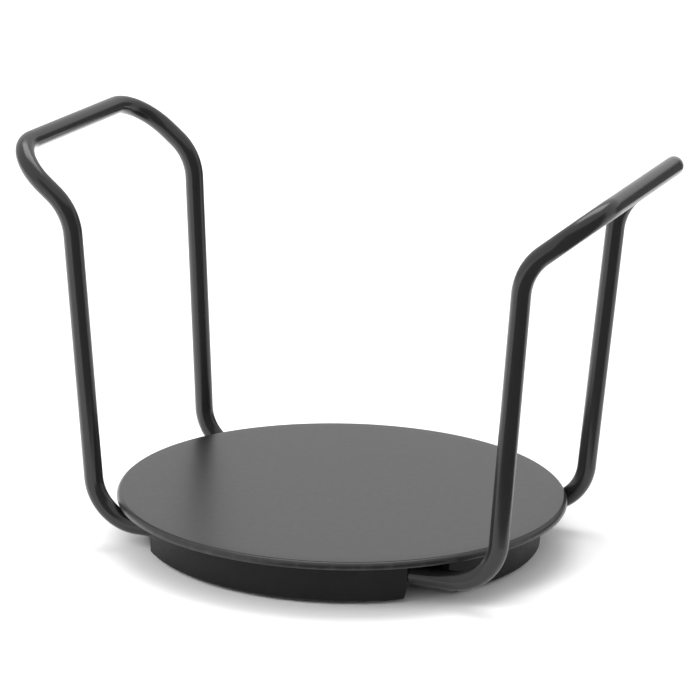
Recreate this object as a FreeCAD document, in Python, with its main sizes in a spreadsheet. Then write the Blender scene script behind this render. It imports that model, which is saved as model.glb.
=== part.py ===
import FreeCAD, Part
import math
import os
import Sketcher
from FreeCAD import Placement, Rotation, Vector

# Adjustable plate holder. Plates stand in a pile on a round disc, between two
# tall bent-rod handles. Each handle has two foot rods that slide in a low round
# base, so the handles draw apart for larger plates.
#
# Frame: millimetres, Z up, origin on the table under the middle of the disc.
# The handles slide along X. The right handle is on the +X side. The left handle
# is the same part turned half a turn about Z, so its foot rods lie beside the
# right handle's foot rods.

os.makedirs("parts", exist_ok=True)
doc = FreeCAD.newDocument("plate_holder")

# ---------------------------------------------------------------- dimensions

DIMENSIONS = [
    ("disc_radius", 95.0, "outer radius of the top disc"),
    ("disc_top", 21.9, "height of the disc's top face above the table"),
    ("disc_sheet", 1.2, "sheet thickness of the disc"),
    ("disc_lip", 3.2, "height of the disc's turned-down rim"),
    ("disc_round", 2.6, "outer radius of the rim's bend"),
    ("lip_round", 0.5, "rounding of the rim's lower edge"),
    ("skirt_radius", 84.1, "outer radius of the housing's skirt"),
    ("skirt_bottom", 1.5, "height of the skirt's lower edge above the table"),
    ("skirt_wall", 2.5, "wall of the skirt"),
    ("skirt_bevel", 0.6, "bevel of the skirt's lower outer edge"),
    ("web_thickness", 2.5, "flat top plate of the housing"),
    ("rod_radius", 4.0, "radius of the handle rod"),
    ("rod_height", 10.8, "height of the foot rods' axes above the table"),
    ("foot_spread", 55.2, "half the distance between a handle's two foot rods"),
    ("handle_offset", 4.5, "sideways shift of a handle, so that foot rods pass each other"),
    ("leg_reach", 90.1, "foot corner of a handle, from the middle, along X"),
    ("shoulder_reach", 99.2, "top of the leg, from the middle, along X"),
    ("shoulder_height", 143.3, "height of the corner between leg and arm"),
    ("shoulder_spread", 60.0, "half the distance between a handle's two shoulders"),
    ("grip_reach", 127.6, "axis of the cross grip, from the middle, along X"),
    ("grip_height", 166.3, "height of the cross grip's axis"),
    ("grip_spread", 59.6, "half the distance between the grip's two corners"),
    ("foot_bend", 20.0, "centreline radius of the bend between foot and leg"),
    ("shoulder_bend", 23.3, "centreline radius of the bend between leg and arm"),
    ("grip_bend", 20.8, "centreline radius of the bend between arm and grip"),
    ("rod_chamfer", 0.8, "chamfer on the cut ends of the rod"),
    ("rod_tail", 46.0, "how far a foot rod runs past the middle when pushed in"),
    ("travel", 56.0, "how far each handle pulls out"),
    ("stop_inset", 4.0, "stop screw's axis, from the end of its foot rod"),
    ("stop_gap", 0.35, "room left between a stop and what it stops against"),
    ("running_gap", 0.05, "radial clearance round a sliding rod"),
    ("clip_length", 10.0, "length of a guide clip along the rod"),
    ("clip_wall", 1.6, "wall of a guide clip behind the rod"),
    ("clip_floor", 1.8, "wall of a guide clip below the rod"),
    ("clip_mouth", 2.2, "where the clip's open side starts, from the rod's axis"),
    ("outer_clip_end", 46.0, "outer end of the outer guide clips, along X"),
    ("pocket_wall", 1.4, "wall of the housing round each guide clip"),
    ("pocket_floor", 8.0, "height of the lower edge of those walls"),
    ("pad_length", 5.6, "length of a friction pad along the rod"),
    ("pad_half_width", 3.5, "half the width of a friction pad"),
    ("pad_drop", 2.6, "lower edge of a friction pad, above the rod's axis"),
    ("slot_outer", 4.4, "side of the skirt's slot beyond the rod's axis"),
    ("slot_inner", 9.2, "side of the skirt's slot towards the middle, from the rod's axis"),
    ("slot_outer_flare", 1.1, "widening of the slot's outer side at its lower end"),
    ("slot_inner_flare", 5.0, "widening of the slot's inner side at its lower end"),
    ("slot_flare_height", 5.0, "height of both widenings above the skirt's lower edge"),
    ("slot_start", 48.5, "inner end of the slots, along X"),
    ("cover_bottom", 2.5, "height of the bottom cover's underside"),
    ("cover_thickness", 2.0, "thickness of the bottom cover"),
    ("cover_gap", 0.3, "gap between the bottom cover and the skirt"),
    ("cover_window_inner", 12.3, "side of the cover's cut-away towards the middle, from the rod's axis"),
    ("cover_screw_circle", 73.0, "radius of the circle of cover screws"),
    ("cover_post_radius", 4.0, "radius of the housing's posts for the cover screws"),
    ("cover_shank", 1.5, "shank radius of a cover screw"),
    ("cover_head", 2.9, "head radius of a cover screw"),
    ("cover_screw_length", 9.0, "length of a cover screw"),
    ("countersink_gap", 0.1, "gap round a cover screw in the cover"),
    ("foot_x", 56.0, "rubber feet, from the middle, along X"),
    ("foot_y", 31.0, "rubber feet, from the middle, along Y"),
    ("foot_radius", 7.0, "radius of a rubber foot"),
    ("foot_round", 0.8, "rounding of a rubber foot's lower edge"),
    ("foot_stem", 2.5, "radius of a rubber foot's stem"),
    ("foot_barb", 3.4, "radius of the barb that holds the stem in the cover"),
    ("foot_barb_height", 1.4, "height of that barb"),
    ("disc_post_place", 26.0, "housing posts under the disc, from the middle, along X and Y"),
    ("disc_post_radius", 7.0, "radius of those posts"),
    ("disc_post_bottom", 12.0, "height of the lower end of those posts"),
    ("boss_radius", 4.5, "radius of a threaded boss under the disc"),
    ("boss_height", 4.0, "height of a threaded boss"),
    ("boss_gap", 0.2, "gap between a boss and its recess in the housing"),
    ("disc_shank", 2.0, "shank radius of a disc screw"),
    ("disc_head", 3.8, "head radius of a disc screw"),
    ("disc_head_height", 2.6, "head height of a disc screw"),
    ("disc_screw_length", 7.5, "length of a disc screw under its head"),
    ("stop_shank", 1.45, "shank radius of a stop screw"),
    ("stop_head", 2.75, "head radius of a stop screw"),
    ("stop_head_height", 1.5, "head height of a stop screw"),
    ("stop_depth", 5.0, "length of a stop screw inside the rod"),
    ("thread_gap", 0.05, "gap round a screw's shank in its hole"),
    ("rib_thickness", 1.6, "thickness of the housing's ribs and end stops"),
    ("end_stop_half_width", 3.7, "half the width of an end stop"),
    ("end_stop_bottom", 6.0, "height of the lower edge of an end stop"),
    ("rib_depth", 5.0, "depth of the stiffening ribs under the housing's top plate"),
]

sheet = doc.addObject("Spreadsheet::Sheet", "dims")
for row, (alias, number, note) in enumerate(DIMENSIONS, start=1):
    sheet.set("A%d" % row, note)
    sheet.set("B%d" % row, str(number))
    sheet.setAlias("B%d" % row, alias)
doc.recompute()


class Size:
    """A number together with the spreadsheet formula that it comes from."""

    def __init__(self, number, formula):
        self.number = number
        self.formula = formula

    def combined(self, other, sign, number):
        return Size(number, "(%s %s %s)" % (self.formula, sign, as_size(other).formula))

    def __add__(self, other):
        return self.combined(other, "+", self.number + as_size(other).number)

    def __sub__(self, other):
        return self.combined(other, "-", self.number - as_size(other).number)

    def __mul__(self, other):
        return self.combined(other, "*", self.number * as_size(other).number)

    def __neg__(self):
        return self * -1


def as_size(value):
    return value if isinstance(value, Size) else Size(value, "%g" % value)


def dim(alias):
    return Size(float(sheet.get(alias)), "dims.%s" % alias)


ZERO = Size(0.0, "0")

# Places that several pieces share.
disc_underside = dim("disc_top") - dim("disc_sheet")
web_underside = disc_underside - dim("web_thickness")
skirt_inside = dim("skirt_radius") - dim("skirt_wall")
cover_top = dim("cover_bottom") + dim("cover_thickness")
bore_radius = dim("rod_radius") + dim("running_gap")
stop_x = dim("stop_inset") - dim("rod_tail")
inner_clip_start = dim("travel") + stop_x + dim("stop_head") + dim("stop_gap")
inner_clip_middle = inner_clip_start + dim("clip_length") * 0.5
outer_clip_middle = dim("outer_clip_end") - dim("clip_length") * 0.5
pad_middle = (inner_clip_middle + outer_clip_middle) * 0.5
front_rod_y = -(dim("handle_offset") + dim("foot_spread"))
back_rod_y = dim("foot_spread") - dim("handle_offset")

# The right handle's two foot rods, and the side of each that faces outwards.
RIGHT_RODS = [("front", front_rod_y, -1), ("back", back_rod_y, 1)]
HALF_TURN = Rotation(Vector(0, 0, 1), 180)

# ------------------------------------------------------------------- helpers


def bind(thing, prop, size):
    thing.setExpression(prop, as_size(size).formula)


def origin_feature(body, role):
    return next(f for f in body.Origin.OriginFeatures if f.Role == role)


def new_body(name):
    body = doc.addObject("PartDesign::Body", name)
    body.Label = name
    return body


def new_sketch(body, role, name, lift=ZERO):
    """An empty sketch on one of the body's origin planes, lifted along its normal."""
    sketch = body.newObject("Sketcher::SketchObject", name)
    sketch.AttachmentSupport = [(origin_feature(body, role), "")]
    sketch.MapMode = "FlatFace"
    bind(sketch, "AttachmentOffset.Base.z", lift)
    return sketch


def place_point(sketch, geometry, point, x, y, name):
    """Hold one point of a sketch at x, y by two dimensions from the sketch's origin."""
    for kind, letter, size in (("DistanceX", "x", x), ("DistanceY", "y", y)):
        value = FreeCAD.Units.Quantity("%f mm" % size.number)
        index = sketch.addConstraint(Sketcher.Constraint(kind, -1, 1, geometry, point, value))
        sketch.renameConstraint(index, name + letter)
        bind(sketch, "Constraints." + name + letter, size)


def add_polygon(sketch, corners):
    """Straight lines round the corners, each corner placed by its own two dimensions."""
    corners = [(as_size(x), as_size(y)) for x, y in corners]
    first = sketch.GeometryCount
    count = len(corners)
    for index, (x, y) in enumerate(corners):
        next_x, next_y = corners[(index + 1) % count]
        start = Vector(x.number, y.number, 0)
        end = Vector(next_x.number, next_y.number, 0)
        sketch.addGeometry(Part.LineSegment(start, end))
    for index in range(count):
        following = first + (index + 1) % count
        sketch.addConstraint(Sketcher.Constraint("Coincident", first + index, 2, following, 1))
    for index, (x, y) in enumerate(corners):
        place_point(sketch, first + index, 1, x, y, "corner%d" % (first + index))


def add_rectangle(sketch, low_x, high_x, low_y, high_y):
    add_polygon(sketch, [(low_x, low_y), (high_x, low_y), (high_x, high_y), (low_x, high_y)])


def add_circle(sketch, x, y, radius):
    x, y, radius = as_size(x), as_size(y), as_size(radius)
    centre = Vector(x.number, y.number, 0)
    index = sketch.addGeometry(Part.Circle(centre, Vector(0, 0, 1), radius.number))
    place_point(sketch, index, 3, x, y, "centre%d" % index)
    name = "radius%d" % index
    value = FreeCAD.Units.Quantity("%f mm" % radius.number)
    constraint = sketch.addConstraint(Sketcher.Constraint("Radius", index, value))
    sketch.renameConstraint(constraint, name)
    bind(sketch, "Constraints." + name, radius)


def extrude(body, kind, sketch, length, reverse=False, both_ways=False):
    """A Pad or a Pocket of a sketch."""
    feature = body.newObject("PartDesign::" + kind, sketch.Name + "_" + kind.lower())
    feature.Profile = sketch
    feature.Reversed = reverse
    feature.Midplane = both_ways
    bind(feature, "Length", length)
    return feature


def revolve(body, sketch):
    feature = body.newObject("PartDesign::Revolution", sketch.Name + "_turned")
    feature.Profile = sketch
    feature.ReferenceAxis = (sketch, ["V_Axis"])
    feature.Angle = 360
    return feature


def round_circles(body, base, circles, radius):
    """Fillet the circular edges of a feature that have the given radius and height."""
    doc.recompute()
    names = []
    for index, edge in enumerate(base.Shape.Edges, start=1):
        if not isinstance(edge.Curve, Part.Circle):
            continue
        for circle_radius, height in circles:
            same_radius = abs(edge.Curve.Radius - circle_radius.number) < 1e-4
            same_height = abs(edge.Curve.Center.z - height.number) < 1e-4
            if same_radius and same_height:
                names.append("Edge%d" % index)
    feature = body.newObject("PartDesign::Fillet", base.Name + "_rounded")
    feature.Base = (base, names)
    bind(feature, "Radius", radius)
    return feature


def repeat_half_turn(body, features, name):
    """Repeat features half a turn about the body's Z axis."""
    pattern = body.newObject("PartDesign::PolarPattern", name)
    pattern.Originals = features
    pattern.Axis = (origin_feature(body, "Z_Axis"), [""])
    pattern.Angle = 360
    pattern.Occurrences = 2
    body.Tip = pattern
    return pattern


def solid_of_revolution(name, half_section):
    """A small turned piece about its own Z axis, from its half section in X and Z."""
    body = new_body(name)
    sketch = new_sketch(body, "XZ_Plane", name + "_section")
    add_polygon(sketch, half_section)
    return body, revolve(body, sketch)


def group(name, pieces):
    """Several identical fasteners under one name."""
    compound = doc.addObject("Part::Compound", name)
    compound.Label = name
    compound.Links = pieces
    return compound


# -------------------------------------------------------------------- pieces


def make_top_disc():
    """Pressed sheet-metal disc: flat top, rounded bend, short turned-down rim."""
    radius, top, sheet_thickness = dim("disc_radius"), dim("disc_top"), dim("disc_sheet")
    inside = radius - sheet_thickness
    lip_bottom = top - dim("disc_lip")
    body, disc = solid_of_revolution("top_disc", [
        (ZERO, disc_underside),
        (inside, disc_underside),
        (inside, lip_bottom),
        (radius, lip_bottom),
        (radius, top),
        (ZERO, top),
    ])
    bend = round_circles(body, disc, [(radius, top)], dim("disc_round"))
    inner_bend = dim("disc_round") - sheet_thickness
    bend = round_circles(body, bend, [(inside, disc_underside)], inner_bend)
    round_circles(body, bend, [(radius, lip_bottom)], dim("lip_round"))
    return body


def make_disc_bosses():
    """Threaded bosses welded under the disc, one over each of the housing's inner posts."""
    bosses = []
    for side_x in (-1, 1):
        for side_y in (-1, 1):
            boss = doc.addObject("Part::Cylinder", "disc_boss")
            bind(boss, "Radius", dim("boss_radius"))
            bind(boss, "Height", dim("boss_height"))
            hole = doc.addObject("Part::Cylinder", "disc_boss_hole")
            bind(hole, "Radius", dim("disc_shank") + dim("thread_gap"))
            bind(hole, "Height", dim("boss_height"))
            tapped = doc.addObject("Part::Cut", "disc_boss_tapped")
            tapped.Base = boss
            tapped.Tool = hole
            bind(tapped, "Placement.Base.x", dim("disc_post_place") * side_x)
            bind(tapped, "Placement.Base.y", dim("disc_post_place") * side_y)
            bind(tapped, "Placement.Base.z", disc_underside - dim("boss_height"))
            bosses.append(tapped)
    return group("disc_bosses", bosses)


def add_guide_pocket(body, name, middle, rod_y):
    """Walls that hold one guide clip: one behind the clip and one at each of its ends."""
    half = dim("clip_length") * 0.5
    wall = dim("pocket_wall")
    clip_back = rod_y - bore_radius - dim("clip_wall")
    clip_front = rod_y + dim("clip_mouth")
    drop = web_underside - dim("pocket_floor")
    walls = new_sketch(body, "XY_Plane", name + "_walls", web_underside)
    add_polygon(walls, [
        (middle - half - wall, clip_back - wall),
        (middle + half + wall, clip_back - wall),
        (middle + half + wall, clip_front),
        (middle + half, clip_front),
        (middle + half, clip_back),
        (middle - half, clip_back),
        (middle - half, clip_front),
        (middle - half - wall, clip_front),
    ])
    return extrude(body, "Pad", walls, drop, reverse=True)


def add_rod_way(body, name, rod_y):
    """The straight way of one foot rod through the walls of its own guide pockets."""
    half_way = dim("rod_radius") + dim("stop_gap")
    way = new_sketch(body, "YZ_Plane", name + "_way")
    add_rectangle(way, rod_y - half_way, rod_y + half_way, cover_top, dim("rod_height") + half_way)
    return extrude(body, "Pocket", way, dim("slot_start"), reverse=True)


def add_slot(body, name, rod_y, outward):
    """The skirt's slot for one foot rod, open at the bottom, where it flares."""
    outer = rod_y + dim("slot_outer") * outward
    inner = rod_y - dim("slot_inner") * outward
    flare_top = dim("skirt_bottom") + dim("slot_flare_height")
    slot = new_sketch(body, "YZ_Plane", name + "_slot", dim("slot_start"))
    add_polygon(slot, [
        (outer, web_underside),
        (outer, flare_top),
        (outer + dim("slot_outer_flare") * outward, ZERO),
        (inner - dim("slot_inner_flare") * outward, ZERO),
        (inner, flare_top),
        (inner, web_underside),
    ])
    depth = dim("skirt_radius") - dim("slot_start") + dim("skirt_wall")
    return extrude(body, "Pocket", slot, depth, reverse=True)


def add_end_stop(body, name, rod_y):
    """A rib that the inner end of a foot rod meets when the handle is pushed in."""
    face = -(dim("rod_tail") + dim("stop_gap"))
    half = dim("end_stop_half_width")
    stop = new_sketch(body, "XY_Plane", name + "_end_stop", web_underside)
    add_rectangle(stop, face - dim("rib_thickness"), face, rod_y - half, rod_y + half)
    return extrude(body, "Pad", stop, web_underside - dim("end_stop_bottom"), reverse=True)


def add_posts(body):
    """Posts for the screws that hold the disc and for those that hold the cover."""
    place = dim("disc_post_place")
    disc_posts = new_sketch(body, "XY_Plane", "disc_posts", web_underside)
    for side in (-1, 1):
        add_circle(disc_posts, place, place * side, dim("disc_post_radius"))
    disc_pad = extrude(body, "Pad", disc_posts, web_underside - dim("disc_post_bottom"), reverse=True)
    cover_posts = new_sketch(body, "XY_Plane", "cover_posts", web_underside)
    add_circle(cover_posts, dim("cover_screw_circle"), ZERO, dim("cover_post_radius"))
    add_circle(cover_posts, ZERO, dim("cover_screw_circle"), dim("cover_post_radius"))
    cover_pad = extrude(body, "Pad", cover_posts, web_underside - cover_top, reverse=True)
    return [disc_pad, cover_pad]


def add_ribs(body):
    """Stiffening ribs under the top plate: two from post to post, one between the rods."""
    half = dim("rib_thickness") * 0.5
    place = dim("disc_post_place")
    ribs = new_sketch(body, "XY_Plane", "ribs", web_underside)
    add_rectangle(ribs, place - half, place + half, -place, place)
    pad = extrude(body, "Pad", ribs, dim("rib_depth"), reverse=True)
    cross = new_sketch(body, "XY_Plane", "cross_rib", web_underside)
    add_rectangle(cross, ZERO, dim("cover_screw_circle"), -half, half)
    cross_pad = extrude(body, "Pad", cross, dim("rib_depth"), reverse=True)
    return [pad, cross_pad]


def add_screw_holes(body):
    """Recesses for the disc's bosses, and the holes of both kinds of screw."""
    place = dim("disc_post_place")
    recesses = new_sketch(body, "XY_Plane", "boss_recesses", disc_underside)
    shanks = new_sketch(body, "XY_Plane", "disc_screw_holes", disc_underside)
    for side in (-1, 1):
        add_circle(recesses, place, place * side, dim("boss_radius") + dim("boss_gap"))
        add_circle(shanks, place, place * side, dim("disc_shank") + dim("boss_gap"))
    recess_cut = extrude(body, "Pocket", recesses, dim("boss_height") + dim("boss_gap"))
    shank_cut = extrude(body, "Pocket", shanks, disc_underside - dim("disc_post_bottom"))
    cover_holes = new_sketch(body, "XY_Plane", "cover_screw_holes", cover_top)
    hole_radius = dim("cover_shank") + dim("thread_gap")
    add_circle(cover_holes, dim("cover_screw_circle"), ZERO, hole_radius)
    add_circle(cover_holes, ZERO, dim("cover_screw_circle"), hole_radius)
    cover_cut = extrude(body, "Pocket", cover_holes, dim("cover_screw_length"), reverse=True)
    return [recess_cut, shank_cut, cover_cut]


def make_base_housing():
    """Moulded housing: skirt and top plate in one, with everything that holds the rods."""
    body, _ = solid_of_revolution("base_housing", [
        (ZERO, web_underside),
        (skirt_inside, web_underside),
        (skirt_inside, dim("skirt_bottom")),
        (dim("skirt_radius") - dim("skirt_bevel"), dim("skirt_bottom")),
        (dim("skirt_radius"), dim("skirt_bottom") + dim("skirt_bevel")),
        (dim("skirt_radius"), disc_underside),
        (ZERO, disc_underside),
    ])
    added = add_posts(body) + add_ribs(body)
    for name, rod_y, _ in RIGHT_RODS:
        added.append(add_guide_pocket(body, name + "_inner", inner_clip_middle, rod_y))
        added.append(add_guide_pocket(body, name + "_outer", outer_clip_middle, rod_y))
        added.append(add_end_stop(body, name, rod_y))
    repeat_half_turn(body, added, "added_half_turn")
    removed = add_screw_holes(body)
    for name, rod_y, outward in RIGHT_RODS:
        removed.append(add_rod_way(body, name, rod_y))
        removed.append(add_slot(body, name, rod_y, outward))
    repeat_half_turn(body, removed, "removed_half_turn")
    return body


def add_countersunk_holes(body):
    """Holes for the cover screws, countersunk from below."""
    rim_radius = dim("cover_head") + dim("countersink_gap")
    hole_radius = dim("cover_shank") + dim("countersink_gap")
    centres = new_sketch(body, "XY_Plane", "cover_screw_centres", dim("cover_bottom"))
    add_circle(centres, dim("cover_screw_circle"), ZERO, hole_radius)
    add_circle(centres, ZERO, dim("cover_screw_circle"), hole_radius)
    doc.recompute()
    hole = body.newObject("PartDesign::Hole", "countersunk_holes")
    hole.Profile = centres
    hole.Reversed = True
    hole.DepthType = "ThroughAll"
    bind(hole, "Diameter", hole_radius * 2)
    hole.HoleCutType = "Countersink"
    hole.HoleCutCustomValues = True
    hole.HoleCutCountersinkAngle = 90
    bind(hole, "HoleCutDiameter", rim_radius * 2)
    return hole


def make_bottom_cover():
    """Flat round cover, cut away under the skirt's slots, held by four countersunk screws."""
    body = new_body("bottom_cover")
    outline = new_sketch(body, "XY_Plane", "cover_outline", dim("cover_bottom"))
    add_circle(outline, ZERO, ZERO, skirt_inside - dim("cover_gap"))
    extrude(body, "Pad", outline, dim("cover_thickness"))
    cuts = []
    for name, rod_y, outward in RIGHT_RODS:
        outer = rod_y + dim("slot_outer") * outward
        inner = rod_y - dim("cover_window_inner") * outward
        window = new_sketch(body, "XY_Plane", name + "_window", cover_top)
        add_rectangle(window, dim("slot_start"), dim("skirt_radius"), outer, inner)
        cuts.append(extrude(body, "Pocket", window, dim("cover_thickness")))
    stems = new_sketch(body, "XY_Plane", "stem_holes", cover_top)
    for side in (-1, 1):
        add_circle(stems, dim("foot_x"), dim("foot_y") * side, dim("foot_stem") + dim("thread_gap"))
    cuts.append(extrude(body, "Pocket", stems, dim("cover_thickness")))
    cuts.append(add_countersunk_holes(body))
    repeat_half_turn(body, cuts, "cover_half_turn")
    return body


def make_foot(name, side_x, side_y):
    """Rubber foot: a low button with a barbed stem pushed up through the cover."""
    stem_top = cover_top + dim("foot_barb_height")
    body, turned = solid_of_revolution(name, [
        (ZERO, ZERO),
        (dim("foot_radius"), ZERO),
        (dim("foot_radius"), dim("cover_bottom")),
        (dim("foot_stem"), dim("cover_bottom")),
        (dim("foot_stem"), cover_top),
        (dim("foot_barb"), cover_top),
        (dim("foot_stem") - dim("thread_gap"), stem_top),
        (ZERO, stem_top),
    ])
    round_circles(body, turned, [(dim("foot_radius"), ZERO)], dim("foot_round"))
    bind(body, "Placement.Base.x", dim("foot_x") * side_x)
    bind(body, "Placement.Base.y", dim("foot_y") * side_y)
    return body


def make_guide_clip(name, middle, rod_y, left):
    """Nylon clip, open at one side, that the foot rod slides in."""
    body = new_body(name)
    section = new_sketch(body, "YZ_Plane", name + "_block")
    back = -(bore_radius + dim("clip_wall"))
    top = web_underside - dim("rod_height")
    bottom = -(bore_radius + dim("clip_floor"))
    add_rectangle(section, back, dim("clip_mouth"), bottom, top)
    extrude(body, "Pad", section, dim("clip_length"), both_ways=True)
    bore = new_sketch(body, "YZ_Plane", name + "_bore")
    add_circle(bore, ZERO, ZERO, bore_radius)
    extrude(body, "Pocket", bore, dim("clip_length") * 2, both_ways=True)
    place_on_rod(body, middle, rod_y, left)
    return body


def make_friction_pad(name, rod_y, left):
    """Silicone pad between the housing's top plate and the rod, hollowed to the rod."""
    body = new_body(name)
    section = new_sketch(body, "YZ_Plane", name + "_block")
    half = dim("pad_half_width")
    top = web_underside - dim("rod_height")
    add_rectangle(section, -half, half, dim("pad_drop"), top)
    extrude(body, "Pad", section, dim("pad_length"), both_ways=True)
    hollow = new_sketch(body, "YZ_Plane", name + "_hollow")
    add_circle(hollow, ZERO, ZERO, bore_radius)
    extrude(body, "Pocket", hollow, dim("pad_length") * 2, both_ways=True)
    place_on_rod(body, pad_middle, rod_y, left)
    return body


def place_on_rod(body, x, rod_y, left):
    """Put a piece on a rod of the right handle, or half a turn round on the left handle."""
    side = -1 if left else 1
    if left:
        body.Placement = Placement(Vector(0, 0, 0), HALF_TURN)
    bind(body, "Placement.Base.x", x * side)
    bind(body, "Placement.Base.y", rod_y * side)
    bind(body, "Placement.Base.z", dim("rod_height"))


def bent_path(corners, radii):
    """A wire of straight runs through the corners, joined by tangent arcs."""
    edges = []
    start = corners[0]
    for before, corner, after, radius in zip(corners, corners[1:], corners[2:], radii):
        inward = (before - corner).normalize()
        onward = (after - corner).normalize()
        half_turn = (math.pi - inward.getAngle(onward)) / 2
        setback = radius * math.tan(half_turn)
        arc_start = corner + inward * setback
        arc_end = corner + onward * setback
        bisector = (inward + onward).normalize()
        arc_middle = corner + bisector * (radius / math.cos(half_turn) - radius)
        edges.append(Part.LineSegment(start, arc_start).toShape())
        edges.append(Part.Arc(arc_start, arc_middle, arc_end).toShape())
        start = arc_end
    edges.append(Part.LineSegment(start, corners[-1]).toShape())
    return Part.Wire(edges)


def handle_corners():
    """Corners of the right handle's centreline, from its front foot round to its back foot."""
    tail = -dim("rod_tail").number
    stations = [
        (tail, "foot_spread", "rod_height"),
        (dim("leg_reach").number, "foot_spread", "rod_height"),
        (dim("shoulder_reach").number, "shoulder_spread", "shoulder_height"),
        (dim("grip_reach").number, "grip_spread", "grip_height"),
    ]
    shift = dim("handle_offset").number
    front = [Vector(x, -dim(spread).number - shift, dim(height).number)
             for x, spread, height in stations]
    back = [Vector(x, dim(spread).number - shift, dim(height).number)
            for x, spread, height in stations]
    return front + back[::-1]


def make_handle(name, left):
    """One rod bent to two feet, two legs, two arms and a cross grip."""
    corners = handle_corners()
    bends = [dim(bend).number for bend in ("foot_bend", "shoulder_bend", "grip_bend")]
    centreline = doc.addObject("Part::Feature", name + "_centreline")
    centreline.Shape = bent_path(corners, bends + bends[::-1])
    section = doc.addObject("Part::Circle", name + "_section")
    bind(section, "Radius", dim("rod_radius"))
    section.Placement = Placement(corners[0], Rotation(Vector(0, 1, 0), 90))
    rod = doc.addObject("Part::Sweep", name + "_rod")
    rod.Sections = [section]
    edge_names = ["Edge%d" % index for index in range(1, len(centreline.Shape.Edges) + 1)]
    rod.Spine = (centreline, edge_names)
    rod.Solid = True
    doc.recompute()
    chamfered = doc.addObject("Part::Chamfer", name + "_chamfered")
    chamfered.Base = rod
    cut = dim("rod_chamfer").number
    chamfered.Edges = [(index, cut, cut) for index, edge in enumerate(rod.Shape.Edges, start=1)
                       if abs(edge.BoundBox.XMax - corners[0].x) < 1e-4]
    holes = []
    for rod_name, rod_y, _ in RIGHT_RODS:
        hole = doc.addObject("Part::Cylinder", "%s_%s_stop_hole" % (name, rod_name))
        bind(hole, "Radius", dim("stop_shank") + dim("thread_gap"))
        bind(hole, "Height", dim("rod_radius") + dim("stop_depth"))
        bind(hole, "Placement.Base.x", stop_x)
        bind(hole, "Placement.Base.y", rod_y)
        bind(hole, "Placement.Base.z", dim("rod_height") - dim("rod_radius") * 2)
        holes.append(hole)
    hole_pair = doc.addObject("Part::MultiFuse", name + "_stop_holes")
    hole_pair.Shapes = holes
    handle = doc.addObject("Part::Cut", name)
    handle.Label = name
    handle.Base = chamfered
    handle.Tool = hole_pair
    if left:
        handle.Placement = Placement(Vector(0, 0, 0), HALF_TURN)
    return handle


def make_flat_head_screw(name, head_radius, head_height, shank_radius, length):
    """A screw along +Z with a low round head whose bearing face is at Z = 0."""
    body, _ = solid_of_revolution(name, [
        (ZERO, -head_height),
        (head_radius, -head_height),
        (head_radius, ZERO),
        (shank_radius, ZERO),
        (shank_radius, length),
        (ZERO, length),
    ])
    return body


def make_countersunk_screw(name, head_radius, shank_radius, length):
    """A screw along +Z with a 90 degree countersunk head whose flat is at Z = 0."""
    body, _ = solid_of_revolution(name, [
        (ZERO, ZERO),
        (head_radius, ZERO),
        (shank_radius, head_radius - shank_radius),
        (shank_radius, length),
        (ZERO, length),
    ])
    return body


def make_stop_screws(name, left):
    """The two low-headed screws that stand under the ends of one handle's foot rods."""
    screws = []
    side = -1 if left else 1
    for rod_name, rod_y, _ in RIGHT_RODS:
        screw = make_flat_head_screw("%s_%s" % (name, rod_name), dim("stop_head"),
                                     dim("stop_head_height"), dim("stop_shank"), dim("stop_depth"))
        bind(screw, "Placement.Base.x", stop_x * side)
        bind(screw, "Placement.Base.y", rod_y * side)
        bind(screw, "Placement.Base.z", dim("rod_height") - dim("rod_radius"))
        screws.append(screw)
    return group(name, screws)


def make_disc_screws():
    """Screws up through the housing's inner posts into the disc's bosses."""
    screws = []
    for side_x in (-1, 1):
        for side_y in (-1, 1):
            screw = make_flat_head_screw("disc_screw", dim("disc_head"), dim("disc_head_height"),
                                         dim("disc_shank"), dim("disc_screw_length"))
            bind(screw, "Placement.Base.x", dim("disc_post_place") * side_x)
            bind(screw, "Placement.Base.y", dim("disc_post_place") * side_y)
            bind(screw, "Placement.Base.z", dim("disc_post_bottom"))
            screws.append(screw)
    return group("disc_screws", screws)


def make_cover_screws():
    """Countersunk screws up through the bottom cover into the housing's outer posts."""
    screws = []
    for side_x, side_y in ((1, 0), (0, 1), (-1, 0), (0, -1)):
        screw = make_countersunk_screw("cover_screw", dim("cover_head"), dim("cover_shank"),
                                       dim("cover_screw_length"))
        bind(screw, "Placement.Base.x", dim("cover_screw_circle") * side_x)
        bind(screw, "Placement.Base.y", dim("cover_screw_circle") * side_y)
        bind(screw, "Placement.Base.z", dim("cover_bottom"))
        screws.append(screw)
    return group("cover_screws", screws)


def make_parts():
    parts = [
        make_top_disc(),
        make_disc_bosses(),
        make_disc_screws(),
        make_base_housing(),
        make_bottom_cover(),
        make_cover_screws(),
    ]
    for front_back, side_y in (("front", -1), ("back", 1)):
        for left_right, side_x in (("left", -1), ("right", 1)):
            parts.append(make_foot("rubber_foot_%s_%s" % (front_back, left_right), side_x, side_y))
    for left_right, left in (("right", False), ("left", True)):
        parts.append(make_handle("handle_" + left_right, left))
        parts.append(make_stop_screws("stop_screws_" + left_right, left))
        for rod_name, rod_y, outward in RIGHT_RODS:
            # Half a turn takes the right handle's front rod to the left handle's back rod.
            at_front = (outward < 0) != left
            where = "%s_%s" % (left_right, "front" if at_front else "back")
            parts.append(make_guide_clip("guide_clip_%s_inner" % where, inner_clip_middle, rod_y, left))
            parts.append(make_guide_clip("guide_clip_%s_outer" % where, outer_clip_middle, rod_y, left))
            parts.append(make_friction_pad("friction_pad_" + where, rod_y, left))
    return parts


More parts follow.
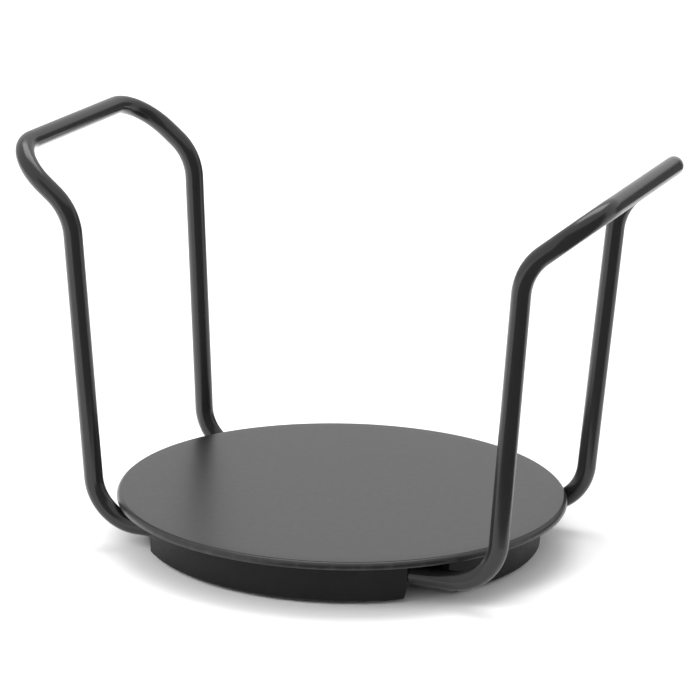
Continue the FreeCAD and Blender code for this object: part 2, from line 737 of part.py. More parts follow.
def check_and_export(parts):
    """Stop at the first failed object; otherwise write one STEP file for each part."""
    doc.recompute()
    for thing in doc.Objects:
        if "Invalid" in thing.State or "Error" in thing.State:
            raise RuntimeError("%s failed: %s" % (thing.Name, thing.State))
    for part in parts:
        if part.Shape.isNull() or not part.Shape.isValid():
            raise RuntimeError("%s has no valid shape" % part.Label)
    for part in parts:
        part.Shape.exportStep("parts/%s.step" % part.Label)
        print("%-28s %2d solids %9.1f mm3" % (part.Label, len(part.Shape.Solids), part.Shape.Volume))


check_and_export(make_parts())
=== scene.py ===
"""Looks of the adjustable plate holder, built round the CAD frame."""

import math

import bmesh
import bpy
from mathutils import Matrix, Vector


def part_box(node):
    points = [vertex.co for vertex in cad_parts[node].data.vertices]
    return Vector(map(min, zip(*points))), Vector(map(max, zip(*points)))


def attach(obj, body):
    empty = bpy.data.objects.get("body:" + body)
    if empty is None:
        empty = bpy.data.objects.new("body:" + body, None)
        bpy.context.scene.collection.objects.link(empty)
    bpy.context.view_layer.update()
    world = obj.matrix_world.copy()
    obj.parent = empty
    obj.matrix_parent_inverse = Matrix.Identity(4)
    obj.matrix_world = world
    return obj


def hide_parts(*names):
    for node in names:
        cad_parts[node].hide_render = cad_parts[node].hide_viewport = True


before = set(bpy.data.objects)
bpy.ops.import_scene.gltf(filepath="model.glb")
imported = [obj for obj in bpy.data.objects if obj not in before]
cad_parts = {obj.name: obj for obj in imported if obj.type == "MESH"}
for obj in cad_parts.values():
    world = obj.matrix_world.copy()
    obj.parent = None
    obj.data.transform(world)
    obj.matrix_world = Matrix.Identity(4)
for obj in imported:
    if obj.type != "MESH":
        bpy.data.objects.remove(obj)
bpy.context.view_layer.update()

MM = 0.001
HALF_TURN = Matrix.Rotation(math.pi, 4, "Z")

# --------------------------------------------------------------- dimensions
# Everything is in metres, in the frame of the CAD model, and starts from the CAD pieces' boxes.

disc_low, disc_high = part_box("top_disc")
housing_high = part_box("base_housing")[1]
cover_low, cover_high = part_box("bottom_cover")
handle_low, handle_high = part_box("handle_right")
foot_low, foot_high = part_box("rubber_foot_front_right")
cover_screws_low, cover_screws_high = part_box("cover_screws")
disc_screws_low, disc_screws_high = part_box("disc_screws")
stop_screws_low, stop_screws_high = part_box("stop_screws_right")

DISC_RADIUS = disc_high.x
DISC_TOP = disc_high.z
SHEET = disc_high.z - housing_high.z
DISC_BEND = 2.6 * MM
ROLL_WIDTH = 8.0 * MM
ROLL_DROP = 0.2 * MM
LIP_ROUND = 0.5 * MM

ROD_RADIUS = 4.0 * MM
ROD_CHAMFER = 0.8 * MM
FOOT_SPREAD = 55.2 * MM
SHOULDER_SPREAD = 60.0 * MM
GRIP_SPREAD = 59.6 * MM
FOOT_BEND = 20.0 * MM
SHOULDER_BEND = 23.3 * MM
GRIP_BEND = 20.8 * MM
FOOT_HEIGHT = handle_low.z + ROD_RADIUS
GRIP_HEIGHT = handle_high.z - ROD_RADIUS
GRIP_REACH = handle_high.x - ROD_RADIUS
LEG_REACH = 90.1 * MM
SHOULDER_REACH = 99.2 * MM
SHOULDER_HEIGHT = 143.3 * MM
HANDLE_MIDDLE = (handle_low.y + handle_high.y) / 2
FRONT_ROD_Y = HANDLE_MIDDLE - FOOT_SPREAD
BACK_ROD_Y = HANDLE_MIDDLE + FOOT_SPREAD

SCREW_FIT = 0.02 * MM
COVER_HEAD = 2.9 * MM
COVER_SHANK = 1.5 * MM
COVER_SCREW_CIRCLE = cover_screws_high.x - COVER_HEAD
DISC_HEAD = 3.8 * MM
DISC_HEAD_HEIGHT = 2.6 * MM
DISC_SHANK = 2.0 * MM
DISC_SCREW_PLACE = disc_screws_high.x - DISC_HEAD
STOP_HEAD = 2.75 * MM
STOP_HEAD_HEIGHT = 1.5 * MM
STOP_SHANK = 1.45 * MM
STOP_SCREW_X = stop_screws_high.x - STOP_HEAD
THREAD_PITCH = 0.8 * MM

FOOT_RADIUS = (foot_high.x - foot_low.x) / 2
FOOT_PLACE = (foot_low + foot_high) / 2
FOOT_STEM = 2.5 * MM
FOOT_BARB = 3.4 * MM
FOOT_ROUND = 0.8 * MM
FOOT_EDGE_ROUND = 0.3 * MM
FOOT_BARB_ROUND = 0.2 * MM
GROOVE_DEPTH = 0.35 * MM

# Proportions of a screw: its cross recess to the head, and its thread and point to the shank.
RECESS_ARM = 0.55
RECESS_HALF_WIDTH = 0.14
RECESS_DEPTH = 0.32
RECESS_FLOOR = 0.6
THREAD_DEPTH = 0.2
POINT_LENGTH = 0.8
POINT_RADIUS = 0.45

# Where the disc's gentle roll gets a ring of points, as parts of its width.
ROLL_PARTS = (0, 0.12, 0.25, 0.4, 0.55, 0.7, 0.8)

# How finely round shapes are divided.
DISC_SIDES = 288
DISC_BEND_STEPS = 10
ROD_SIDES = 56
ROD_BEND_STEPS = 28
FOOT_SIDES = 72
FOOT_BEND_STEPS = 6
THREAD_STEPS = 8
EDGE_ROUND_STEPS = 2

SHARP_ANGLE = math.radians(35)
FLAT_ANGLE = math.radians(0.2)
WELD_DISTANCE = 0.001 * MM


# ------------------------------------------------------------ mesh building


def finish_mesh(name, mesh, body, material, stands_for):
    """Turn a bmesh into a piece that rides on a CAD body and stands for one CAD node."""
    bmesh.ops.recalc_face_normals(mesh, faces=mesh.faces)
    data = bpy.data.meshes.new(name)
    mesh.to_mesh(data)
    mesh.free()
    data.polygons.foreach_set("use_smooth", [True] * len(data.polygons))
    data.set_sharp_from_angle(angle=SHARP_ANGLE)
    data.materials.append(material)
    piece = bpy.data.objects.new(name, data)
    bpy.context.scene.collection.objects.link(piece)
    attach(piece, body)
    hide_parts(stands_for)
    return piece


def arc_points(before, corner, after, radius, count):
    """Points along the rounding of one corner, in two or three dimensions."""
    to_before = (before - corner).normalized()
    to_after = (after - corner).normalized()
    half = to_before.angle(to_after) / 2
    start = corner + to_before * (radius / math.tan(half))
    centre = corner + (to_before + to_after).normalized() * (radius / math.sin(half))
    first = start - centre
    last = corner + to_after * (radius / math.tan(half)) - centre
    sweep = first.angle(last)
    points = []
    for step in range(count + 1):
        part = step / count
        near = math.sin((1 - part) * sweep) / math.sin(sweep)
        far = math.sin(part * sweep) / math.sin(sweep)
        points.append(centre + first * near + last * far)
    return points


def rounded_line(corners, count):
    """A line through corners given as (point, radius), with each inner corner rounded."""
    points = [corners[0][0]]
    for (before, _), (corner, radius), (after, _) in zip(corners, corners[1:], corners[2:]):
        if radius:
            points += arc_points(before, corner, after, radius, count)
        else:
            points.append(corner)
    points.append(corners[-1][0])
    return points


def even_angles(count):
    """Angles spaced evenly round one turn."""
    return [2 * math.pi * index / count for index in range(count)]


def add_lathe(mesh, section, angles, place=Vector((0, 0, 0))):
    """Turn an open section, axis to axis, about a vertical line through a place.

    The section is (radius, height) points. A radius may also be a function of the angle.
    """
    rings = []
    for radius, height in section:
        if radius == 0:
            rings.append([mesh.verts.new(place + Vector((0, 0, height)))])
            continue
        ring = []
        for angle in angles:
            reach = radius(angle) if callable(radius) else radius
            spoke = Vector((reach * math.cos(angle), reach * math.sin(angle), height))
            ring.append(mesh.verts.new(place + spoke))
        rings.append(ring)
    for lower, upper in zip(rings, rings[1:]):
        for index in range(len(angles)):
            following = (index + 1) % len(angles)
            quad = [lower[index % len(lower)], lower[following % len(lower)],
                    upper[following % len(upper)], upper[index % len(upper)]]
            corners = list(dict.fromkeys(quad))
            if len(corners) > 2:
                mesh.faces.new(corners)


def add_tube(mesh, path, radius, chamfer, sides):
    """Sweep a round bar with chamfered ends along a path."""
    tangents = []
    for index in range(len(path)):
        before = path[max(index - 1, 0)]
        after = path[min(index + 1, len(path) - 1)]
        tangents.append((after - before).normalized())
    normal = tangents[0].orthogonal().normalized()
    stations = [(path[0], tangents[0], radius - chamfer)]
    stations.append((path[0] + tangents[0] * chamfer, tangents[0], radius))
    stations += [(p, t, radius) for p, t in zip(path[1:-1], tangents[1:-1])]
    stations.append((path[-1] - tangents[-1] * chamfer, tangents[-1], radius))
    stations.append((path[-1], tangents[-1], radius - chamfer))
    rings = []
    for point, tangent, reach in stations:
        normal = (normal - tangent * normal.dot(tangent)).normalized()
        side = tangent.cross(normal)
        ring = []
        for index in range(sides):
            angle = 2 * math.pi * index / sides
            spoke = normal * math.cos(angle) + side * math.sin(angle)
            ring.append(mesh.verts.new(point + spoke * reach))
        rings.append(ring)
    for lower, upper in zip(rings, rings[1:]):
        for index in range(sides):
            following = (index + 1) % sides
            mesh.faces.new([lower[index], lower[following], upper[following], upper[index]])
    mesh.faces.new(rings[0])
    mesh.faces.new(rings[-1])


def rounded_cad_piece(node, material, edge_round):
    """A base piece in its own CAD shape, with small roundings on its sharp outer edges."""
    mesh = bmesh.new()
    mesh.from_mesh(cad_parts[node].data)
    bmesh.ops.remove_doubles(mesh, verts=mesh.verts, dist=WELD_DISTANCE)
    bmesh.ops.dissolve_limit(mesh, angle_limit=FLAT_ANGLE, use_dissolve_boundaries=False,
                             verts=mesh.verts, edges=mesh.edges)
    bmesh.ops.recalc_face_normals(mesh, faces=mesh.faces)
    shared_edges = [edge for edge in mesh.edges if len(edge.link_faces) == 2]
    outer = [edge for edge in shared_edges if edge.calc_face_angle_signed() > SHARP_ANGLE]
    bmesh.ops.bevel(mesh, geom=outer, offset=edge_round, offset_type="OFFSET",
                    segments=EDGE_ROUND_STEPS, profile=0.5, affect="EDGES", clamp_overlap=True)
    piece = finish_mesh(node + "_piece", mesh, "base", material, node)
    flat_faces = piece.modifiers.new("flat_faces", "WEIGHTED_NORMAL")
    flat_faces.keep_sharp = True
    return piece


# --------------------------------------------------------------- materials


class Finish:
    """A material with one shader, and short names for the nodes that its finish needs."""

    def __init__(self, name, colour, roughness, metallic=0.0, specular=0.5):
        self.material = bpy.data.materials.new(name)
        self.material.use_nodes = True
        self.tree = self.material.node_tree
        self.shader = self.tree.nodes["Principled BSDF"]
        self.shader.inputs["Base Color"].default_value = (*colour, 1)
        self.shader.inputs["Roughness"].default_value = roughness
        self.shader.inputs["Metallic"].default_value = metallic
        self.shader.inputs["Specular IOR Level"].default_value = specular
        self.colour = colour
        self.roughness = roughness
        self.place = self.node("ShaderNodeTexCoord").outputs["Object"]

    def node(self, kind, **settings):
        """Add a node of this kind with these settings."""
        made = self.tree.nodes.new(kind)
        for key, value in settings.items():
            setattr(made, key, value)
        return made

    def link(self, source, target):
        """Join an output socket to an input socket."""
        self.tree.links.new(source, target)

    def stretched(self, x, y, z):
        """The place on the piece, with each axis scaled."""
        mapping = self.node("ShaderNodeMapping")
        self.link(self.place, mapping.inputs["Vector"])
        mapping.inputs["Scale"].default_value = (x, y, z)
        return mapping.outputs["Vector"]

    def noise(self, size, detail=3.0, place=None):
        """Soft noise whose features are about size metres across."""
        made = self.node("ShaderNodeTexNoise")
        self.link(place or self.place, made.inputs["Vector"])
        made.inputs["Scale"].default_value = 1 / size
        made.inputs["Detail"].default_value = detail
        return made.outputs["Fac"]

    def cells(self, size):
        """Distance to the middle of irregular cells about size metres across."""
        made = self.node("ShaderNodeTexVoronoi")
        self.link(self.place, made.inputs["Vector"])
        made.inputs["Scale"].default_value = 1 / size
        return made.outputs["Distance"]

    def mapped(self, value, low, high, new_low, new_high):
        """Stretch low to high onto new_low to new_high, and hold the ends."""
        made = self.node("ShaderNodeMapRange")
        self.link(value, made.inputs["Value"])
        made.inputs["From Min"].default_value = low
        made.inputs["From Max"].default_value = high
        made.inputs["To Min"].default_value = new_low
        made.inputs["To Max"].default_value = new_high
        return made.outputs["Result"]

    def maths(self, operation, first, second):
        """Join two values, each a number or a socket, by one operation."""
        made = self.node("ShaderNodeMath", operation=operation)
        for socket, value in zip(made.inputs, (first, second)):
            if isinstance(value, (int, float)):
                socket.default_value = value
            else:
                self.link(value, socket)
        return made.outputs["Value"]

    def distance_from_axis(self):
        """How far the place is from the vertical axis through the middle of the base."""
        flat = self.stretched(1, 1, 0)
        made = self.node("ShaderNodeVectorMath", operation="LENGTH")
        self.link(flat, made.inputs[0])
        return made.outputs["Value"]

    def vary_colour(self, mask, other):
        """Blend from the base colour to another one where the mask says."""
        made = self.node("ShaderNodeMix", data_type="RGBA")
        self.link(mask, made.inputs["Factor"])
        first, second = [socket for socket in made.inputs if socket.type == "RGBA"]
        first.default_value = (*self.colour, 1)
        second.default_value = (*other, 1)
        blended = next(socket for socket in made.outputs if socket.type == "RGBA")
        self.link(blended, self.shader.inputs["Base Color"])

    def vary_roughness(self, value, spread):
        """Let a value that mostly runs from 0.3 to 0.7 move the roughness up and down by spread."""
        low, high = self.roughness - spread, self.roughness + spread
        self.link(self.mapped(value, 0.3, 0.7, low, high), self.shader.inputs["Roughness"])

    def relief(self, *layers):
        """Stack bumps given as (height value, depth in metres)."""
        normal = None
        for height, depth in layers:
            bump = self.node("ShaderNodeBump")
            bump.inputs["Strength"].default_value = 1.0
            bump.inputs["Distance"].default_value = depth
            self.link(height, bump.inputs["Height"])
            if normal:
                self.link(normal, bump.inputs["Normal"])
            normal = bump.outputs["Normal"]
        self.link(normal, self.shader.inputs["Normal"])


def rod_lacquer():
    """Dark lacquer on bent steel rod: an even satin film with a very fine orange peel."""
    made = Finish("rod_lacquer", (0.011, 0.011, 0.0108), 0.21, specular=0.5)
    drift = made.noise(14 * MM)
    made.vary_colour(made.mapped(drift, 0.35, 0.7, 0, 1), (0.0125, 0.0125, 0.0122))
    made.vary_roughness(made.noise(3 * MM), 0.012)
    made.relief((made.noise(1.1 * MM, 2), 0.001 * MM), (made.noise(0.25 * MM, 2), 0.0003 * MM))
    return made.material


def disc_coating():
    """Satin powder coat with a fine grain, slightly worn at the rim."""
    made = Finish("disc_powder_coat", (0.009, 0.009, 0.0087), 0.35, specular=0.56)
    worn_width = 1.2 * MM
    from_axis = made.distance_from_axis()
    rim = made.mapped(from_axis, DISC_RADIUS - worn_width, DISC_RADIUS, 0, 1)
    worn = made.maths("MULTIPLY", rim, made.mapped(made.noise(5 * MM), 0.5, 0.72, 0, 0.5))
    made.vary_colour(worn, (0.045, 0.045, 0.044))
    made.vary_roughness(made.noise(2.5 * MM, 4), 0.015)
    made.relief((made.noise(0.6 * MM, 2), 0.0025 * MM), (made.noise(0.16 * MM, 2), 0.0008 * MM))
    return made.material


def moulded_plastic(name, colour, roughness):
    """Black moulded plastic with a fine spark-eroded texture."""
    made = Finish(name, colour, roughness, specular=0.2)
    lighter = [channel * 1.35 for channel in colour]
    made.vary_colour(made.mapped(made.noise(9 * MM), 0.4, 0.7, 0, 1), lighter)
    made.vary_roughness(made.noise(1.5 * MM), 0.05)
    made.relief((made.cells(0.45 * MM), 0.012 * MM), (made.noise(0.2 * MM, 2), 0.006 * MM))
    return made.material


def rubber(name, colour):
    """Matt moulded rubber with dust held in its pores."""
    made = Finish(name, colour, 0.78, specular=0.25)
    made.vary_colour(made.mapped(made.noise(0.8 * MM), 0.5, 0.8, 0, 1), (0.036, 0.035, 0.034))
    made.vary_roughness(made.noise(1.2 * MM), 0.07)
    made.relief((made.noise(0.35 * MM, 4), 0.02 * MM))
    return made.material


def slick_nylon():
    """Black nylon, burnished in streaks along X where the rod runs."""
    made = Finish("clip_nylon", (0.02, 0.02, 0.021), 0.45, specular=0.45)
    streaks = made.noise(0.6 * MM, 3, made.stretched(0.05, 1, 1))
    made.vary_colour(made.mapped(streaks, 0.45, 0.7, 0, 1), (0.034, 0.034, 0.035))
    made.vary_roughness(streaks, 0.09)
    made.relief((streaks, 0.008 * MM))
    return made.material


def zinc_plate(name):
    """Zinc-plated steel with a mottled, slightly dulled surface."""
    made = Finish(name, (0.56, 0.56, 0.55), 0.32, metallic=1.0)
    made.vary_colour(made.mapped(made.noise(0.9 * MM, 4), 0.4, 0.7, 0, 1), (0.42, 0.43, 0.44))
    made.vary_roughness(made.cells(0.7 * MM), 0.08)
    made.relief((made.noise(0.3 * MM, 3), 0.004 * MM))
    return made.material


ROD_LACQUER = rod_lacquer()
DISC_COATING = disc_coating()
HOUSING_PLASTIC = moulded_plastic("housing_plastic", (0.005, 0.005, 0.0052), 0.46)
COVER_PLASTIC = moulded_plastic("cover_plastic", (0.01, 0.01, 0.0102), 0.52)
FOOT_RUBBER = rubber("foot_rubber", (0.018, 0.018, 0.018))
PAD_SILICONE = rubber("pad_silicone", (0.03, 0.03, 0.031))
CLIP_NYLON = slick_nylon()
SCREW_ZINC = zinc_plate("screw_zinc")
BOSS_ZINC = zinc_plate("boss_zinc")


# ------------------------------------------------------------------- pieces


def flat(radius, height):
    """A point of a turned section."""
    return Vector((radius, height))


def turned_section(corners, steps):
    """The section for add_lathe, from corners given as (point, radius)."""
    return [tuple(point) for point in rounded_line(corners, steps)]


def make_disc():
    """Pressed sheet disc: flat top, rolled bend, short rim with a rounded lower edge."""
    inside = DISC_RADIUS - SHEET
    below = DISC_TOP - SHEET
    corners = [
        (flat(0, DISC_TOP), 0),
        (flat(DISC_RADIUS * 0.5, DISC_TOP), 0),
        *[(flat(DISC_RADIUS - ROLL_WIDTH * (1 - part), DISC_TOP - ROLL_DROP * part ** 2), 0)
          for part in ROLL_PARTS],
        (flat(DISC_RADIUS, DISC_TOP - ROLL_DROP), DISC_BEND),
        (flat(DISC_RADIUS, disc_low.z), LIP_ROUND),
        (flat(inside, disc_low.z), LIP_ROUND),
        (flat(inside, below), DISC_BEND - SHEET),
        (flat(inside - SHEET, below), 0),
        (flat(0, below), 0),
    ]
    mesh = bmesh.new()
    add_lathe(mesh, turned_section(corners, DISC_BEND_STEPS), even_angles(DISC_SIDES))
    finish_mesh("disc_plate", mesh, "base", DISC_COATING, "top_disc")


def handle_path():
    """Centreline of the right handle, from the end of one foot rod to the end of the other."""

    def corner(reach, spread, height, bend, side):
        return Vector((reach, HANDLE_MIDDLE + side * spread, height)), bend

    front, back = [
        [
            corner(handle_low.x, FOOT_SPREAD, FOOT_HEIGHT, 0, side),
            corner(LEG_REACH, FOOT_SPREAD, FOOT_HEIGHT, FOOT_BEND, side),
            corner(SHOULDER_REACH, SHOULDER_SPREAD, SHOULDER_HEIGHT, SHOULDER_BEND, side),
            corner(GRIP_REACH, GRIP_SPREAD, GRIP_HEIGHT, GRIP_BEND, side),
        ]
        for side in (-1, 1)
    ]
    return rounded_line(front + back[::-1], ROD_BEND_STEPS)


def make_handles():
    """The two bent rods: one path, and the same path turned half a turn."""
    for name, turn in (("right", Matrix.Identity(4)), ("left", HALF_TURN)):
        mesh = bmesh.new()
        path = [turn @ point for point in handle_path()]
        add_tube(mesh, path, ROD_RADIUS, ROD_CHAMFER, ROD_SIDES)
        finish_mesh("rod_" + name, mesh, name + "_handle", ROD_LACQUER,
                    "handle_" + name)


def make_base():
    """Housing and bottom cover, with their CAD shapes and moulded edge roundings."""
    rounded_cad_piece("base_housing", HOUSING_PLASTIC, 0.25 * MM)
    rounded_cad_piece("bottom_cover", COVER_PLASTIC, 0.2 * MM)


def make_guides():
    """Guide clips and friction pads with softened edges."""
    for side in ("left", "right"):
        for end in ("front", "back"):
            pad = "friction_pad_%s_%s" % (side, end)
            rounded_cad_piece(pad, PAD_SILICONE, 0.2 * MM)
            for place in ("inner", "outer"):
                clip = "guide_clip_%s_%s_%s" % (side, end, place)
                rounded_cad_piece(clip, CLIP_NYLON, 0.2 * MM)


def cross_angles(arm, half_width):
    """Angles round a turn that meet every corner of a cross recess."""
    tip = math.atan2(half_width, arm)
    eighth = math.pi / 4
    half_arm = [0, tip / 2, tip, (tip + eighth) / 2]
    quarter = half_arm + [eighth] + [2 * eighth - angle for angle in half_arm[:0:-1]]
    return [2 * eighth * turn + angle for turn in range(4) for angle in quarter]


def cross_radius(arm, half_width):
    """The radius of a cross recess as a function of the angle."""

    def radius(angle):
        folded = angle % (math.pi / 2)
        folded = min(folded, math.pi / 2 - folded)
        if math.tan(folded) <= half_width / arm:
            return arm / math.cos(folded)
        return half_width / math.sin(folded)

    return radius


def thread_radius(crest, height):
    """The radius of a screw thread at one height, as a function of the angle."""
    depth = crest * THREAD_DEPTH

    def radius(angle):
        turn = (angle / (2 * math.pi) - height / THREAD_PITCH) % 1
        return crest - depth * abs(2 * turn - 1)

    return radius


def screw_section(head, head_profile, shank, shank_start, tip):
    """Section of a cross-recessed screw along +Z, from the recess round the head to the tip."""
    arm, half_width, depth = head * RECESS_ARM, head * RECESS_HALF_WIDTH, head * RECESS_DEPTH
    face = head_profile[0][1]
    floor = cross_radius(arm * RECESS_FLOOR, half_width * RECESS_FLOOR)
    section = [(0, face + depth), (floor, face + depth)]
    section.append((cross_radius(arm, half_width), face))
    section += head_profile
    point = shank * POINT_LENGTH
    steps = round((tip - point - shank_start) / THREAD_PITCH * THREAD_STEPS)
    for step in range(steps + 1):
        height = shank_start + (tip - point - shank_start) * step / steps
        section.append((thread_radius(shank, height), height))
    section += [(shank * POINT_RADIUS, tip), (0, tip)]
    return section


def add_screw(mesh, section, head, place):
    """One screw, with points where its section meets the corners of the cross recess."""
    add_lathe(mesh, section, cross_angles(head * RECESS_ARM, head * RECESS_HALF_WIDTH), place)


def make_screws():
    """Cover, disc and stop screws: cross recesses, rolled threads and short points."""
    round_off = 0.3 * MM
    head = COVER_HEAD - SCREW_FIT
    length = cover_screws_high.z - cover_screws_low.z
    countersunk = [(head, 0), (head, SCREW_FIT), (COVER_SHANK, COVER_HEAD - COVER_SHANK)]
    section = screw_section(head, countersunk, COVER_SHANK, COVER_HEAD - COVER_SHANK, length)
    mesh = bmesh.new()
    for quarter in range(4):
        turn = Matrix.Rotation(quarter * math.pi / 2, 3, "Z")
        place = turn @ Vector((COVER_SCREW_CIRCLE, 0, 0)) + Vector((0, 0, cover_screws_low.z))
        add_screw(mesh, section, head, place)
    finish_mesh("cover_screw_set", mesh, "base", SCREW_ZINC, "cover_screws")

    pan = [(DISC_HEAD - round_off * 2, -DISC_HEAD_HEIGHT),
           (DISC_HEAD - round_off * 0.5, round_off - DISC_HEAD_HEIGHT),
           (DISC_HEAD, round_off * 2.5 - DISC_HEAD_HEIGHT), (DISC_HEAD, 0), (DISC_SHANK, 0)]
    bearing = disc_screws_low.z + DISC_HEAD_HEIGHT
    section = screw_section(DISC_HEAD, pan, DISC_SHANK, 0, disc_screws_high.z - bearing)
    mesh = bmesh.new()
    for side_x in (-1, 1):
        for side_y in (-1, 1):
            place = Vector((side_x * DISC_SCREW_PLACE, side_y * DISC_SCREW_PLACE, bearing))
            add_screw(mesh, section, DISC_HEAD, place)
    finish_mesh("disc_screw_set", mesh, "base", SCREW_ZINC, "disc_screws")

    low = [(STOP_HEAD - round_off, -STOP_HEAD_HEIGHT), (STOP_HEAD, round_off - STOP_HEAD_HEIGHT),
           (STOP_HEAD, 0), (STOP_SHANK, 0)]
    bearing = stop_screws_low.z + STOP_HEAD_HEIGHT
    section = screw_section(STOP_HEAD, low, STOP_SHANK, 0, stop_screws_high.z - bearing)
    for name, turn in (("right", Matrix.Identity(4)), ("left", HALF_TURN)):
        mesh = bmesh.new()
        for rod_y in (FRONT_ROD_Y, BACK_ROD_Y):
            place = turn @ Vector((STOP_SCREW_X, rod_y, bearing))
            add_screw(mesh, section, STOP_HEAD, place)
        finish_mesh("stop_screw_pair_" + name, mesh, name + "_handle", SCREW_ZINC,
                    "stop_screws_" + name)


def make_feet():
    """Rubber feet: a dimple and a ring groove under each one, and a tapered barb above."""
    dimple = FOOT_RADIUS * 0.2
    groove = FOOT_RADIUS * 0.5
    land = FOOT_RADIUS * 0.12
    corners = [
        (flat(0, GROOVE_DEPTH), 0),
        (flat(dimple, GROOVE_DEPTH), 0),
        (flat(dimple + GROOVE_DEPTH, 0), 0),
        (flat(groove - GROOVE_DEPTH, 0), 0),
        (flat(groove, GROOVE_DEPTH), 0),
        (flat(groove + land, GROOVE_DEPTH), 0),
        (flat(groove + land + GROOVE_DEPTH, 0), 0),
        (flat(FOOT_RADIUS, 0), FOOT_ROUND),
        (flat(FOOT_RADIUS, cover_low.z), FOOT_EDGE_ROUND),
        (flat(FOOT_STEM, cover_low.z), 0),
        (flat(FOOT_STEM, cover_high.z), 0),
        (flat(FOOT_BARB, cover_high.z), FOOT_BARB_ROUND),
        (flat(FOOT_STEM, foot_high.z), FOOT_EDGE_ROUND),
        (flat(0, foot_high.z), 0),
    ]
    section = turned_section(corners, FOOT_BEND_STEPS)
    for depth, side_y in (("front", -1), ("back", 1)):
        for width, side_x in (("left", -1), ("right", 1)):
            mesh = bmesh.new()
            place = Vector((side_x * abs(FOOT_PLACE.x), side_y * abs(FOOT_PLACE.y), 0))
            add_lathe(mesh, section, even_angles(FOOT_SIDES), place)
            name = "%s_%s" % (depth, width)
            finish_mesh("foot_" + name, mesh, "base", FOOT_RUBBER,
                        "rubber_foot_" + name)


make_disc()
make_handles()
make_base()
make_guides()
make_screws()
make_feet()

# The bosses keep their CAD shape and only get a material.
boss_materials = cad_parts["disc_bosses"].data.materials
boss_materials.clear()
boss_materials.append(BOSS_ZINC)


# ------------------------------------------------------ floor, light, camera


CAMERA_AZIMUTH = math.radians(21.8)
CAMERA_ELEVATION = math.radians(15.87)
CAMERA_DISTANCE = 1.3965
CAMERA_ROLL = math.radians(1.06)
LENS_MM = 172.05
SENSOR_MM = 36.0
NEAREST_SEEN = 0.1
AIM_RIGHT = 2.225 * MM
AIM_UP = 0.964 * MM
LOOKED_AT = Vector((0, 0, 0.0815))

FLOOR_RADIUS = 9.0
CARD_LIFT = 1.0 * MM
DIM_CARD = 0.2
BRIGHT_CARD = 2.2


def direction(azimuth, elevation):
    """Unit vector away from the object. Azimuth 0 is the front, and it grows towards +X."""
    level = math.cos(elevation)
    return Vector((math.sin(azimuth) * level, -math.cos(azimuth) * level, math.sin(elevation)))


def add_stage_piece(name, mesh, finish):
    """Turn a bmesh into a part of the studio, which isn't part of the object."""
    data = bpy.data.meshes.new(name)
    mesh.to_mesh(data)
    mesh.free()
    data.materials.append(finish.material)
    piece = bpy.data.objects.new(name, data)
    bpy.context.scene.collection.objects.link(piece)
    return piece


def make_floor():
    """Plain pale studio floor."""
    mesh = bmesh.new()
    bmesh.ops.create_circle(mesh, cap_ends=True, radius=FLOOR_RADIUS, segments=96)
    add_stage_piece("floor", mesh, Finish("pale_floor", (0.9, 0.9, 0.9), 0.7, specular=0.2))


def make_gloss_card(name, azimuths, section, brightness):
    """A card that glows evenly and that only gloss sees: it is no lamp, and it paints a reflection
    into glossy surfaces.

    Its (reach, height) section runs outwards just above the floor at each azimuth, and may turn up.
    """
    mesh = bmesh.new()
    rows = []
    for reach, height in section:
        away = [direction(math.radians(azimuth), 0) for azimuth in azimuths]
        rows.append([mesh.verts.new(way * reach + Vector((0, 0, height))) for way in away])
    for lower, upper in zip(rows, rows[1:]):
        for index in range(len(azimuths) - 1):
            mesh.faces.new([lower[index], lower[index + 1], upper[index + 1], upper[index]])
    # The card is no lamp: it glows by its own emission, so its dim or bright glow is a painted
    # reflection in glossy surfaces.
    made = Finish(name + "_reflection_glow", (0, 0, 0), 1.0, specular=0.0)
    made.shader.inputs["Emission Color"].default_value = (1, 1, 1, 1)
    made.shader.inputs["Emission Strength"].default_value = brightness
    card = add_stage_piece(name, mesh, made)
    card.visible_camera = False
    card.visible_diffuse = False
    card.visible_shadow = False


def make_gloss_cards():
    """Glowing cards that paint what the coatings mirror: dim in front and at the back right, bright
    on the left floor.
    """
    front = [(0.17, CARD_LIFT), (1.6, CARD_LIFT), (1.6, 1.3)]
    make_gloss_card("front_card", range(-10, 101, 22), front, DIM_CARD)
    back_right = [(0.6, CARD_LIFT), (1.6, CARD_LIFT), (1.6, 0.55)]
    make_gloss_card("back_right_card", range(128, 173, 11), back_right, DIM_CARD)
    left_floor = [(0.14, CARD_LIFT), (1.4, CARD_LIFT)]
    make_gloss_card("left_floor_card", range(-160, -41, 20), left_floor, BRIGHT_CARD)


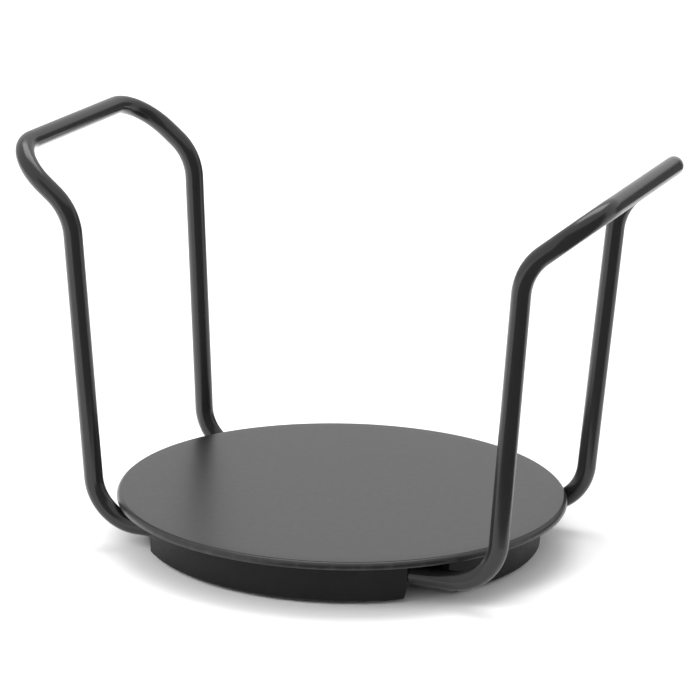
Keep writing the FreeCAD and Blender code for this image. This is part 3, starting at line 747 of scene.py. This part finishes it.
def add_softbox(name, azimuth, elevation, distance, width, height, brightness, seen_by):
    """A large soft light that faces the object, as bright as the given multiple of white.

    It is seen by the kinds of ray listed: "diffuse" rays, "glossy" rays or both.
    """
    light = bpy.data.lights.new(name, "AREA")
    light.shape = "RECTANGLE"
    light.size = width
    light.size_y = height
    light.energy = brightness * math.pi * width * height
    lamp = bpy.data.objects.new(name, light)
    away = direction(math.radians(azimuth), math.radians(elevation))
    lamp.location = LOOKED_AT + away * distance
    lamp.rotation_mode = "QUATERNION"
    lamp.rotation_quaternion = (-away).to_track_quat("-Z", "Y")
    lamp.visible_camera = False
    lamp.visible_diffuse = "diffuse" in seen_by
    lamp.visible_glossy = "glossy" in seen_by
    bpy.context.scene.collection.objects.link(lamp)


def make_light():
    """Soft studio light: an even surround, a key box and a box above."""
    world = bpy.data.worlds.new("studio")
    world.use_nodes = True
    background = world.node_tree.nodes["Background"]
    background.inputs["Color"].default_value = (1, 1, 1, 1)
    background.inputs["Strength"].default_value = 1.0
    bpy.context.scene.world = world
    add_softbox("top_box", 202, 70, 1.7, 1.3, 1.0, 3.5, ["diffuse", "glossy"])
    add_softbox("key_box", -36, 33, 1.8, 0.8, 0.8, 7.0, ["diffuse"])
    bpy.context.scene.view_settings.view_transform = "Standard"


def make_camera():
    """A long lens from the front right, slightly above the disc."""
    back = direction(CAMERA_AZIMUTH, CAMERA_ELEVATION)
    place = LOOKED_AT + back * CAMERA_DISTANCE
    right = Vector((0, 0, 1)).cross(back).normalized()
    up = back.cross(right)
    aim = LOOKED_AT + right * AIM_RIGHT + up * AIM_UP
    camera = bpy.data.cameras.new("camera")
    camera.lens = LENS_MM
    camera.sensor_width = SENSOR_MM
    camera.clip_start = NEAREST_SEEN
    holder = bpy.data.objects.new("camera", camera)
    holder.location = place
    holder.rotation_mode = "QUATERNION"
    level = (aim - place).to_track_quat("-Z", "Y")
    roll = Matrix.Rotation(CAMERA_ROLL, 3, "Z").to_quaternion()
    holder.rotation_quaternion = level @ roll
    bpy.context.scene.collection.objects.link(holder)
    bpy.context.scene.camera = holder


make_floor()
make_gloss_cards()
make_light()
make_camera()
